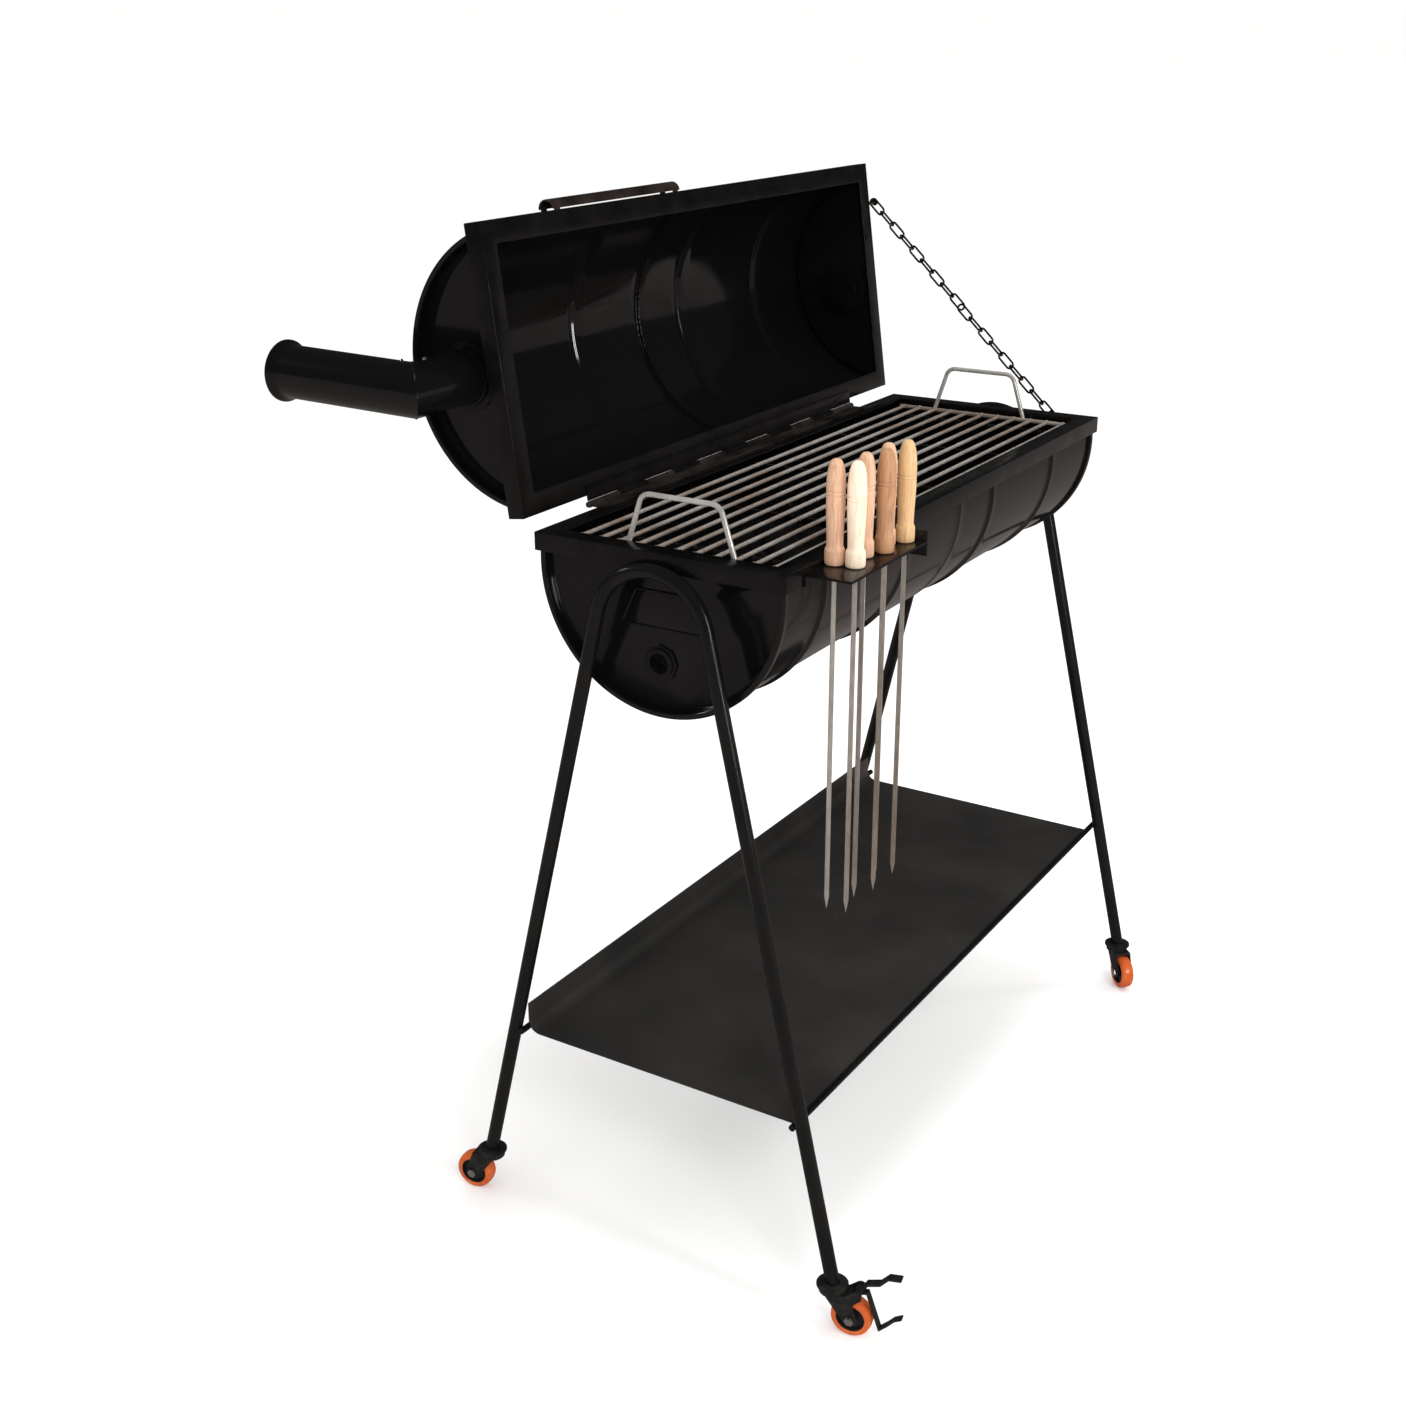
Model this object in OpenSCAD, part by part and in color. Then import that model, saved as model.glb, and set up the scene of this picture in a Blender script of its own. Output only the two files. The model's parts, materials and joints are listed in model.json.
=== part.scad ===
// Barrel charcoal grill with a lift-up lid, an end chimney and a wheeled tube stand.
// The lid is drawn open on its chain. Millimetres, +Z up.
// Working axes before the last shift: X along the drum, chimney end at -X,
// Y towards the hinge side, Z from the floor, drum middle at X = 0, Y = 0.

/* [Drum and rims] */
// Outside radius of the drum shell
shell_r = 154.5; // [150:0.5:156]
// Sheet thickness of the shell and heads
sheet_t = 1.5; // [1:0.1:2]
// Length over the chimes of the drum
drum_len = 894; // [880:1:896]
// Height of a rolling hoop over the shell
hoop_h = 3.5; // [2:0.5:4]
// Length over the rim frame
rim_len = 902; // [900:1:920]
// Width over the rim frame
rim_w = 325; // [323:1:335]
// Height of the rim's top face over the floor
rim_top = 900; // [880:1:920]
// Flange width of the rim's angle iron
flange_w = 25; // [20:1:28]
// Leg height of the rim's angle iron
rim_leg = 21.5; // [18:0.5:25]
// Thickness of the angle iron
angle_t = 3; // [2.5:0.5:3]

/* [Lid] */
// Angle between the closed lid and the open lid
open_angle = 97.84; // [90:0.01:100]
// Height of the hinge axis over the rim's top face
hinge_up = 2.3; // [2.2:0.1:2.4]
// Distance of the hinge axis behind the rim's back face
hinge_back = 10; // [9:0.5:12]
// Length of the hinge
hinge_len = 660; // [550:10:800]
// Length of the lid's grip
grip_len = 262; // [200:1:280]
// Place of the grip's middle along the drum
grip_x = -185; // [-200:1:0]

/* [Chimney] */
// Outside radius of the chimney pipe
pipe_r = 30; // [25:0.5:32]
// Outside radius of the rolled mouth
mouth_r = 35; // [33:0.5:38]
// Length of the upright pipe from the mitre to the mouth
pipe_len = 189; // [150:1:220]
// Forward lean of the pipe with the lid closed
pipe_lean = 8.9; // [0:0.1:10]

/* [Stand] */
// Outside radius of the leg tube
tube_r = 8.5; // [8:0.1:10]
// Half the spread of the legs across the grill, at the casters
foot_y = 251; // [230:1:260]
// Half the spread of the legs along the grill, at the casters
foot_x = 476.5; // [470:0.5:490]
// Height of the tray over the floor
tray_z = 253; // [220:1:300]

/* [Casters] */
// Radius of a caster's tread
wheel_r = 25; // [24:0.5:25]
// Distance from the swivel axis to the axle
trail = 25; // [22:0.5:26]

/* [Skewers] */
// Length of a wooden handle
handle_len = 115; // [100:1:125]
// Length of a blade below its handle
blade_len = 412; // [350:1:430]

/* [Hidden] */

$fn = 64;
weld_in = 0.4;                              // how far a straight bar runs into a bent one
weld_step = 0.03;                           // and how much thinner it is there
weld_gap = 0.05;                            // between two pieces that are welded face to face

// Drum
inner_r = shell_r - sheet_t;
cut_up = 30.5;                              // cut plane over the drum's own axis
base_axis_z = rim_top - angle_t - cut_up;
lid_face_z = rim_top + 2 * hinge_up;        // closed lid's mating face
lid_axis_z = lid_face_z + angle_t - cut_up;
chime_h = 4;
head_in = 16;                               // head's recess inside the chime
head_face = drum_len / 2 - head_in;         // outside of the head, along X
hoop_w = 16;
hoops = [-352, -148, 97, 298];
seam_h = 1;
seam_w = 7;

// Hinge
hinge_y = rim_w / 2 + hinge_back;
hinge_z = rim_top + hinge_up;
leaf_t = 2;
leaf_overlap = 12;
knuckle_r = 4;
knuckles = 11;
knuckle_gap = 0.6;
pin_r = 2;
running = 0.05;                             // radial clearance on pins and axles

// Chimney
stub_reach = 78;                            // pipe axis beyond the drum's end
chimney_x = -(drum_len / 2 + stub_reach);
chimney_y = 3;
chimney_z = lid_axis_z + 91;
pipe_t = 1.5;
socket_len = 48;                            // true bore behind the pipe's flared mouth
deep_t = 1;                                 // wall of the pipe behind that bore
mouth_drop = 12;                            // length of the flared mouth

// Stand
arch_r = 72.7;                              // bend radius of the leg tube
tube_t = 1.5;
foot_z = 64;
near_apex_z = 881.5;
far_apex_z = 894;

// Tray
tray_half = 189;
tray_back_h = 40;
tray_bend = 16;
tray_t = 1.5;
tray_near = -467;
tray_far = 456;
rod_r = 4;

// Casters: [name, side along X, side along Y, direction of trail]
casters = [["nf", -1, -1, -80], ["nb", -1, 1, 99], ["ff", 1, -1, 225], ["fb", 1, 1, 110]];
axle_r = 4;
wheel_half = 9;
fork_gap = 1.2;
fork_t = 2;
fork_out = wheel_half + fork_gap + fork_t;
cup_r = 19;
brake_pivot = [32, 59];
brake_pin_r = 2.5;
pedal_w = 11;
pedal_t = 2.6;
press_path = [brake_pivot, [42, 74], [58, 79], [68, 90], [83, 92]];
shoe_path = [brake_pivot, [43, 62], [58.5, 15], [68, 24], [76, 33], [85, 38]];

// Chain
chain_x = 484;
chain_wire = 1.5;
link_in = 5.5;                              // end radius on the wire's centre
hook_r = 2.5;
base_hook = [-78, 889];
lid_hook = [-105, 915];
link_play = 0.8;
half_links = 9;
middle_step = 0.85;                         // spacing of the two middle links, in pitches

// Grate
rod_count = 11;
rod_pitch = 25;
grate_rod_r = 2.5;
grate_end = 412;
grate_z = 891.5;
grate_bar_r = 3;

// Rack and skewers: [x, y, turn of the blade] of each hanging skewer
rack_z = 893;
rack_t = 3;
skewers = [
    [-368, -174, -40], [-365, -197.5, -62], [-326, -187.5, -80],
    [-299, -198.5, -55], [-274, -187.5, -30], [-249.5, -199, -68]];
collar_r = 11;

// Open-lid position of a point given with the lid closed
function opened(y, z) = [
    hinge_y + (y - hinge_y) * cos(open_angle) + (z - hinge_z) * sin(open_angle),
    hinge_z - (y - hinge_y) * sin(open_angle) + (z - hinge_z) * cos(open_angle)];

// One edge of a strip that follows a path: each point moved sideways, mitred at the bends
function heading(p, q) = (q - p) / norm(q - p);
function strip_edge(path, side) = [
    for (i = [0:len(path) - 1])
        let (before = i == 0 ? heading(path[0], path[1]) : heading(path[i - 1], path[i]),
            after = i == len(path) - 1 ? before : heading(path[i], path[i + 1]),
            mitre = (before + after) / norm(before + after))
        path[i] + side / (mitre * before) * [-mitre[1], mitre[0]]];

// Shift that brings the origin to the middle of the footprint
mouth_mid = opened(chimney_y - pipe_len * sin(pipe_lean), chimney_z + pipe_len * cos(pipe_lean));
mouth_tilt = 90 + pipe_lean - open_angle;
x_low = chimney_x - mouth_r;
x_high = foot_x + cup_r;
y_high = mouth_mid[0] + mouth_r * sin(mouth_tilt);
shoe_reach = max([for (p = strip_edge(shoe_path, -pedal_t / 2 + 0.2)) p[0]]);
y_low = -foot_y + shoe_reach * sin(casters[0][3]) - (pedal_w / 2 - 1) * cos(casters[0][3]);
origin_x = (x_low + x_high) / 2;
origin_y = (y_low + y_high) / 2;

module placed() {
    translate([-origin_x, -origin_y, 0]) children();
}

module lid_open() {
    placed()
        translate([0, hinge_y, hinge_z])
            rotate([-open_angle, 0, 0])
                translate([0, -hinge_y, -hinge_z]) children();
}

// Turns a Z-axis solid on to the X axis
module along_x() {
    rotate([0, 90, 0]) children();
}

// Round bar between two points
module bar(p, q, r) {
    d = q - p;
    translate(p)
        rotate([0, acos(d[2] / norm(d)), atan2(d[1], d[0])])
            cylinder(r = r, h = norm(d));
}

// ---- Drum ----

function bump(d, h, w) = abs(d) >= w / 2 ? 0 : h * (1 + cos(360 * d / w)) / 2;
function hoop_points(c, h, w) = [for (i = [-4:4]) [bump(i * w / 8, h, w), c + i * w / 8]];

module shell_ring(axis_z) {
    half = drum_len / 2 - 3;
    outline = concat(
        [[0, -half]],
        hoop_points(hoops[0], hoop_h, hoop_w),
        hoop_points(hoops[1], hoop_h, hoop_w),
        hoop_points(0, seam_h, seam_w),
        hoop_points(hoops[2], hoop_h, hoop_w),
        hoop_points(hoops[3], hoop_h, hoop_w),
        [[0, half]]);
    n = len(outline);
    outer = [for (p = outline) [shell_r + p[0], p[1]]];
    inner = [for (i = [n - 1:-1:0]) [inner_r + outline[i][0], outline[i][1]]];
    translate([0, 0, axis_z])
        along_x()
            rotate_extrude($fn = 96) polygon(concat(outer, inner));
}

// Keeps what lies below (side -1) or above (side 1) a level
module cut_at(level, side) {
    difference() {
        children();
        translate([-600, -300, side > 0 ? level - 600 : level]) cube([1200, 600, 600]);
    }
}

// Pressed head with its chime, on the +X end
module head(axis_z) {
    s = head_face;
    e = drum_len / 2;
    translate([0, 0, axis_z])
        along_x()
            rotate_extrude($fn = 96)
                polygon([
                    [0, s - sheet_t], [inner_r - 6, s - sheet_t], [inner_r - 1.8, s + 0.6],
                    [inner_r, s + 5], [inner_r, e - 3], [shell_r, e - 3], [shell_r, e - 9],
                    [shell_r + 3, e - 9], [shell_r + chime_h, e - 7.5],
                    [shell_r + chime_h, e - 1.2], [shell_r + 2.8, e], [inner_r - 0.3, e],
                    [inner_r - 1.5, e - 1.2], [inner_r - 1.5, s + 5.6],
                    [inner_r - 3, s + 1.8], [inner_r - 6.5, s], [0, s]]);
}

module base_shell() {
    color("#1c1b1b") placed() cut_at(rim_top - angle_t, -1) shell_ring(base_axis_z);
}

module lid_shell() {
    color("#1c1b1b") lid_open() cut_at(lid_face_z + angle_t, 1) shell_ring(lid_axis_z);
}

small_bung = [7, base_axis_z - 99.5];
small_bung_r = 12;
large_bung = [13, lid_axis_z + 75];
large_bung_r = 27;

// Blank panel pressed outwards above the small bung
module pressed_panel() {
    translate([-head_face - 1.2, 0, base_axis_z])
        rotate([90, 0, 90])
            linear_extrude(1.2)
                polygon([[-40, -17], [38, -17], [58, -59], [-58, -59]]);
}

module base_head_near() {
    color("#1c1b1b") placed() difference() {
        cut_at(rim_top - angle_t, -1) {
            mirror([1, 0, 0]) head(base_axis_z);
            pressed_panel();
        }
        translate([-head_face - 5, small_bung[0], small_bung[1]])
            along_x() cylinder(r = small_bung_r, h = 10);
    }
}

module base_head_far() {
    color("#1c1b1b") placed() cut_at(rim_top - angle_t, -1) head(base_axis_z);
}

module base_bung_flange() {
    color("#242323") placed()
        translate([-head_face - 5, small_bung[0], small_bung[1]])
            along_x()
                difference() {
                    union() {
                        cylinder(r = 17, h = 5);
                        translate([0, 0, 3]) cylinder(r = 22, h = 2, $fn = 8);
                    }
                    translate([0, 0, -1]) cylinder(r = small_bung_r, h = 8);
                }
}

module lid_head_near() {
    color("#1c1b1b") lid_open() difference() {
        cut_at(lid_face_z + angle_t, 1) mirror([1, 0, 0]) head(lid_axis_z);
        translate([-head_face - 5, chimney_y, chimney_z])
            along_x() cylinder(r = pipe_r - pipe_t, h = 10);
    }
}

module lid_head_far() {
    color("#1c1b1b") lid_open() difference() {
        cut_at(lid_face_z + angle_t, 1) head(lid_axis_z);
        translate([head_face - 5, large_bung[0], large_bung[1]])
            along_x() cylinder(r = large_bung_r, h = 10);
    }
}

// Eight-sided flange crimped to the head, and the screwed plug in it
module lid_bung_fitting() {
    color("#242323") lid_open()
        translate([head_face - sheet_t - 3, large_bung[0], large_bung[1]])
            along_x() {
                difference() {
                    union() {
                        cylinder(r = 40, h = 3, $fn = 8);
                        cylinder(r = large_bung_r, h = 3 + sheet_t + 4);
                    }
                    translate([0, 0, -1]) cylinder(r = large_bung_r - 3, h = 12);
                }
                translate([0, 0, -2]) cylinder(r = large_bung_r - 3, h = 9);
            }
}

// ---- Rims ----

// Angle-iron frame: flange from z = 0 to angle_t, legs down to -leg
module rim(leg) {
    translate([-rim_len / 2, -rim_w / 2, 0])
        difference() {
            translate([0, 0, -leg + angle_t]) cube([rim_len, rim_w, leg]);
            translate([angle_t, angle_t, -leg + angle_t - 1])
                cube([rim_len - 2 * angle_t, rim_w - 2 * angle_t, leg - angle_t + 1]);
            translate([flange_w, flange_w, -leg])
                cube([rim_len - 2 * flange_w, rim_w - 2 * flange_w, 3 * leg]);
        }
}

module rim_frame() {
    color("#1a1a1a") placed() translate([0, 0, rim_top - angle_t]) rim(rim_leg);
}

module lid_rim_frame() {
    color("#1a1a1a") lid_open()
        translate([0, 0, lid_face_z + angle_t]) mirror([0, 0, 1]) rim(rim_leg);
}

// ---- Hinge ----

knuckle_len = hinge_len / knuckles;

// Leaf on the rim side; even knuckles belong to the base, odd ones to the lid
module leaf(first) {
    front = rim_w / 2 - leaf_overlap;
    difference() {
        union() {
            translate([-hinge_len / 2, front, -hinge_up])
                cube([hinge_len, hinge_y - knuckle_r - 0.2 - front, leaf_t]);
            for (i = [first:2:knuckles - 1])
                translate([-hinge_len / 2 + i * knuckle_len + knuckle_gap / 2, 0, 0]) {
                    translate([0, hinge_y - knuckle_r - 0.3, -hinge_up])
                        cube([knuckle_len - knuckle_gap, 3, leaf_t]);
                    translate([0, hinge_y, 0])
                        along_x() cylinder(r = knuckle_r, h = knuckle_len - knuckle_gap);
                }
        }
        translate([-hinge_len / 2 - 1, hinge_y, 0])
            along_x() cylinder(r = pin_r + running, h = hinge_len + 2);
    }
}

module hinge_base_leaf() {
    color("#2a2726") placed() translate([0, 0, hinge_z]) leaf(0);
}

module hinge_lid_leaf() {
    color("#1a1a1a") lid_open() translate([0, 0, hinge_z]) mirror([0, 0, 1]) leaf(1);
}

module hinge_pin() {
    color("#3a3836") placed() translate([0, hinge_y, hinge_z]) {
        translate([-hinge_len / 2 - 1, 0, 0]) along_x() cylinder(r = pin_r, h = hinge_len + 2);
        for (s = [-1, 1])
            translate([s * (hinge_len / 2 + 1.5) - 1, 0, 0]) along_x() cylinder(r = 3.6, h = 2);
    }
}

// ---- Lid fittings ----

module lid_grip() {
    stand_off = 2;
    grip_r = 11;
    color("#4a423f") lid_open()
        translate([grip_x - grip_len / 2, -rim_w / 2 - stand_off, lid_face_z + rim_leg / 2]) {
            difference() {
                along_x() cylinder(r = grip_r, h = grip_len);
                translate([-1, 0, 0]) along_x() cylinder(r = grip_r - 2, h = grip_len + 2);
                translate([-1, 0, -20]) cube([grip_len + 2, 40, 40]);
            }
            for (x = [4, grip_len - 12], z = [-grip_r, grip_r - 3])
                translate([x, -2, z]) cube([8, stand_off + 2, 3]);
        }
}

module at_elbow() {
    lid_open()
        translate([chimney_x, chimney_y, chimney_z]) rotate([pipe_lean, 0, 0]) children();
}

module chimney_collar() {
    color("#1a1a1a") at_elbow()
        translate([-chimney_x - head_face - 4, 0, 0])
            along_x()
                difference() {
                    union() {
                        cylinder(r = pipe_r + 9, h = 4);
                        translate([0, 0, -8]) cylinder(r = pipe_r + 3, h = 9);
                    }
                    translate([0, 0, -10]) cylinder(r = pipe_r, h = 20);
                }
}

module chimney_elbow() {
    color("#1c1b1b") at_elbow()
        difference() {
            translate([-pipe_r * 2, 0, 0])
                along_x() cylinder(r = pipe_r, h = pipe_r * 2 - chimney_x - head_face);
            translate([-pipe_r * 2 - 1, 0, 0]) along_x() cylinder(r = pipe_r - pipe_t, h = 300);
            rotate([0, -45, 0]) translate([-200, -100, 0]) cube([400, 200, 200]);
        }
}

module chimney_pipe() {
    color("#1c1b1b") at_elbow()
        difference() {
            union() {
                translate([0, 0, -pipe_r * 2]) cylinder(r = pipe_r, h = pipe_r * 2 + pipe_len - mouth_drop);
                rotate_extrude($fn = 96)
                    polygon([
                        [pipe_r - pipe_t, pipe_len - 13], [pipe_r, pipe_len - 13],
                        [pipe_r + 1.2, pipe_len - 9], [mouth_r - 1, pipe_len - 4.5],
                        [mouth_r, pipe_len - 3], [mouth_r, pipe_len - 1],
                        [mouth_r - 1, pipe_len], [mouth_r - 2, pipe_len],
                        [mouth_r - 3, pipe_len - 3], [pipe_r + 0.2, pipe_len - 8]]);
            }
            translate([0, 0, -pipe_r * 2 - 1]) cylinder(r = pipe_r - pipe_t, h = 400);
            translate([0, 0, -pipe_r * 2])
                cylinder(r = pipe_r - deep_t, h = pipe_r * 2 + pipe_len - mouth_drop - socket_len);
            rotate([0, 135, 0]) translate([-200, -100, 0]) cube([400, 200, 200]);
        }
}

// ---- Chain ----

hook_span = opened(lid_hook[0], lid_hook[1]) - base_hook;
chain_span = norm(hook_span);
chain_angle = atan2(hook_span[1], hook_span[0]);
end_gap = hook_r + chain_wire + link_play;
// span = 2 * first + 2 * (half_links - 1) * pitch + middle_step * pitch, first = reach - end_gap,
// and 2 * reach = pitch + 2 * chain_wire + link_play
pitch = (chain_span + 2 * end_gap - 2 * chain_wire - link_play) / (2 * half_links - 1 + middle_step);
reach = (pitch + 2 * chain_wire + link_play) / 2;
first_link = reach - end_gap;

// Link in the XZ plane, long side on X
module link() {
    straight = 2 * (reach - link_in);
    for (s = [-1, 1]) {
        translate([-straight / 2 - weld_in, 0, s * link_in])
            along_x() cylinder(r = chain_wire - weld_step, h = straight + 2 * weld_in);
        translate([s * straight / 2, 0, 0])
            rotate([90, 0, s > 0 ? 0 : 180])
                rotate([0, 0, -90])
                    rotate_extrude(angle = 180, $fn = 32) translate([link_in, 0]) circle(r = chain_wire);
    }
}

// Half the chain, hung from the origin and running along +Y; last link stands off by side
module half_chain(side) {
    for (i = [0:half_links - 1])
        translate([i == half_links - 1 ? side * (chain_wire + 0.1) : 0, first_link + i * pitch, 0])
            rotate([0, i % 2 == 0 ? 0 : 90, 0])
                rotate([0, 0, 90]) link();
}

module hook() {
    along_x() {
        cylinder(r = hook_r, h = chain_x - rim_len / 2 + 4);
        translate([0, 0, chain_x - rim_len / 2 + 3]) cylinder(r = 5, h = 2);
    }
}

module chain_anchor_base() {
    color("#4a4743") placed() translate([rim_len / 2, base_hook[0], base_hook[1]]) hook();
}

module chain_anchor_lid() {
    color("#4a4743") lid_open() translate([rim_len / 2, lid_hook[0], lid_hook[1]]) hook();
}

module chain_lower() {
    color("#4a4743") placed()
        translate([chain_x, base_hook[0], base_hook[1]]) rotate([chain_angle, 0, 0]) half_chain(-1);
}

module chain_upper() {
    top = opened(lid_hook[0], lid_hook[1]);
    color("#4a4743") placed()
        translate([chain_x, top[0], top[1]]) rotate([chain_angle + 180, 0, 0]) half_chain(1);
}

// ---- Grate ----

rod_span = (rod_count - 1) * rod_pitch;

module grate_rests() {
    rest_r = 4;
    rest_z = grate_z - grate_rod_r - 0.3 - rest_r;
    half = sqrt(inner_r * inner_r - pow(rest_z + rest_r - base_axis_z, 2));
    color("#2a2827") placed()
        for (x = [-375, 375])
            bar([x, -half, rest_z], [x, half, rest_z], rest_r);
}

module grate_rods() {
    color("#8d8680") placed()
        for (i = [0:rod_count - 1]) {
            y = -rod_span / 2 + i * rod_pitch;
            bar([-grate_end + grate_bar_r, y, grate_z], [grate_end - grate_bar_r, y, grate_z], grate_rod_r);
        }
}

module grate_cross_bars() {
    bar_w = 4;
    bar_h = 8;
    color("#6f6963") placed() {
        for (x = [-grate_end, grate_end])
            bar([x, -rod_span / 2 - 6, grate_z], [x, rod_span / 2 + 6, grate_z], grate_bar_r);
        for (x = [-206, 0, 206])
            translate([x - bar_w / 2, -rod_span / 2 - 6, grate_z - grate_rod_r - bar_h])
                cube([bar_w, rod_span + 12, bar_h]);
    }
}

// Loop handle at x, its middle at y, in the YZ plane
module loop_handle(x, y) {
    foot = 70;
    top = 50;
    bend = 14;
    height = 62;
    lean = atan2(foot - top, height);
    turn = 90 - lean;
    hand_r = 3;
    foot_down = 4;
    set_back = bend * tan(turn / 2);
    leg_up = height - (set_back - weld_in) * cos(lean);
    side_r = hand_r - weld_step;
    for (s = [-1, 1]) {
        bar([x, y + s * (foot + foot_down * sin(lean)), grate_z - foot_down * cos(lean)],
            [x, y + s * (top + (set_back - weld_in) * sin(lean)), grate_z + leg_up], side_r);
        translate([x, y + s * (top - set_back), grate_z + height - bend])
            rotate([90, 0, 90])
                rotate([0, 0, s > 0 ? lean : 90])
                    rotate_extrude(angle = turn, $fn = 32) translate([bend, 0]) circle(r = hand_r);
    }
    half_top = top - set_back + weld_in;
    bar([x, y - half_top, grate_z + height], [x, y + half_top, grate_z + height], side_r);
}

module grate_handles() {
    out = grate_end + grate_bar_r + 3;
    color("#a39c95") placed() {
        loop_handle(-out, -12);
        loop_handle(out, 8);
    }
}

// ---- Stand ----

// Bent tube frame in the YZ plane, the bend's middle at the origin
module bent_tube(splay) {
    leg_len = 900;
    rotate([90, 0, 90]) {
        rotate([0, 0, splay])
            rotate_extrude(angle = 180 - 2 * splay, $fn = 48)
                translate([arch_r, 0])
                    difference() {
                        circle(r = tube_r);
                        circle(r = tube_r - tube_t);
                    }
        for (s = [-1, 1])
            translate([s * arch_r * cos(splay), arch_r * sin(splay), 0])
                rotate([0, 0, s * splay])
                    rotate([90, 0, 0])
                        translate([0, 0, -weld_in])
                            difference() {
                                cylinder(r = tube_r - weld_step, h = leg_len);
                                translate([0, 0, -1])
                                    cylinder(r = tube_r - tube_t + weld_step, h = leg_len + 2);
                            }
    }
}

// Lean across the grill of a leg that drops by this much from the arch's middle to its foot
function splay_of(drop) = acos(arch_r / norm([foot_y, drop])) - atan2(drop, foot_y);

module leg_frame(side, apex_z) {
    middle_z = apex_z - arch_r;
    drop = middle_z - foot_z;
    plumb = atan((foot_x - rim_len / 2 - tube_r - weld_gap) / (apex_z - foot_z));
    top_x = foot_x - drop * tan(plumb);
    difference() {
        translate([side * top_x, 0, middle_z])
            rotate([0, -side * plumb, 0]) bent_tube(splay_of(drop));
        translate([-600, -400, foot_z - 400]) cube([1200, 800, 400]);
    }
}

module leg_frame_near() {
    color("#1b1a1a") placed() leg_frame(-1, near_apex_z);
}

module leg_frame_far() {
    color("#1b1a1a") placed() leg_frame(1, far_apex_z);
}

// Sheet tray: flat, then rolled up along its back edge
module shelf_tray() {
    bend_pts = [for (i = [0:6]) let (a = -90 + i * 15)
        [tray_half - tray_bend + tray_bend * cos(a), tray_z + tray_bend + tray_bend * sin(a)]];
    bend_in = [for (i = [6:-1:0]) let (a = -90 + i * 15, r = tray_bend - tray_t)
        [tray_half - tray_bend + r * cos(a), tray_z + tray_bend + r * sin(a)]];
    color("#2b2a2a") placed()
        translate([tray_near, 0, 0])
            rotate([90, 0, 90])
                linear_extrude(tray_far - tray_near)
                    polygon(concat(
                        [[-tray_half, tray_z]], bend_pts,
                        [[tray_half, tray_z + tray_back_h], [tray_half - tray_t, tray_z + tray_back_h]],
                        bend_in, [[-tray_half, tray_z + tray_t]]));
}

// Rods along both edges of the tray, across the inner sides of the legs
module shelf_rods() {
    y = tray_half + rod_r;
    color("#1b1a1a") placed() {
        bar([-476, -y, tray_z], [488, -y, tray_z], rod_r);
        bar([-478, y, tray_z + rod_r], [478, y, tray_z + rod_r], rod_r);
    }
}

// Shelf with round holes for the blades, and its end gusset
module skewer_rack() {
    near = -415;
    far = -232;
    out = 57;
    color("#211f1f") placed() difference() {
        union() {
            translate([near, -rim_w / 2 - out, rack_z - rack_t]) cube([far - near, out, rack_t]);
            translate([far - rack_t, -rim_w / 2 - out, rack_z - 18]) cube([rack_t, out, 28.5]);
            translate([near, -rim_w / 2 - rack_t, rim_top - rim_leg])
                cube([far - near, rack_t, rack_z - rim_top + rim_leg]);
        }
        for (p = skewers)
            translate([p[0], p[1], rack_z - 10]) cylinder(r = 4.5, h = 20);
    }
}

// ---- Casters ----

// Puts a caster's own frame in place: X is the direction of trail, Z the swivel axis
module at_caster(c) {
    placed() translate([c[1] * foot_x, c[2] * foot_y, 0]) rotate([0, 0, c[3]]) children();
}

function caster(name) = [for (c = casters) if (c[0] == name) c][0];

// Fixed cup, king-pin and its head, one under each leg
module caster_cups() {
    for (c = casters)
        color("#2a2a2a") at_caster(c)
            rotate_extrude($fn = 64)
                polygon([
                    [0, 49], [7, 49], [7, 52.4], [5, 52.4], [5, 59], [cup_r - 4, 59],
                    [cup_r, 60.5], [cup_r, 62.5], [cup_r - 3, foot_z], [0, foot_z]]);
}

module caster_fork(c) {
    plate_z = 53;
    braked = c[0] == "nf";
    color("#1f1f1f") at_caster(c) {
        difference() {
            union() {
                translate([-8, -fork_out, plate_z]) cube([32, 2 * fork_out, 2.4]);
                translate([0, 0, plate_z]) cylinder(r = 16, h = 5.4);
            }
            translate([0, 0, plate_z - 1]) cylinder(r = 5 + running, h = 10);
        }
        for (s = [-1, 1])
            translate([0, s * (fork_out - fork_t / 2) + fork_t / 2, 0])
                rotate([90, 0, 0])
                    linear_extrude(fork_t)
                        difference() {
                            union() {
                                polygon([
                                    [-8, plate_z + 1], [24, plate_z + 1], [27, 46],
                                    [trail + 9, wheel_r + 3], [trail + 6, wheel_r - 7],
                                    [trail - 6, wheel_r - 7]]);
                                translate([trail, wheel_r]) circle(r = 9);
                                if (braked) {
                                    polygon([[14, plate_z], brake_pivot + [-3, 6],
                                        brake_pivot + [4, -4], [28, 46]]);
                                    translate(brake_pivot) circle(r = 6.5);
                                }
                            }
                            translate([trail, wheel_r]) circle(r = axle_r);
                        }
        if (braked)
            translate([brake_pivot[0], 0, brake_pivot[1]])
                rotate([90, 0, 0]) cylinder(r = brake_pin_r, h = 2 * fork_out + 3, center = true);
    }
}

module caster_axle(c) {
    color("#b9b6b2") at_caster(c)
        translate([trail, 0, wheel_r]) rotate([90, 0, 0]) {
            translate([0, 0, -fork_out - 2]) cylinder(r = axle_r, h = 2 * fork_out + 6);
            translate([0, 0, fork_out]) cylinder(r = 6, h = 3, $fn = 6);
            translate([0, 0, -fork_out - 3.5]) cylinder(r = 6, h = 3.5, $fn = 6);
        }
}

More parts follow.
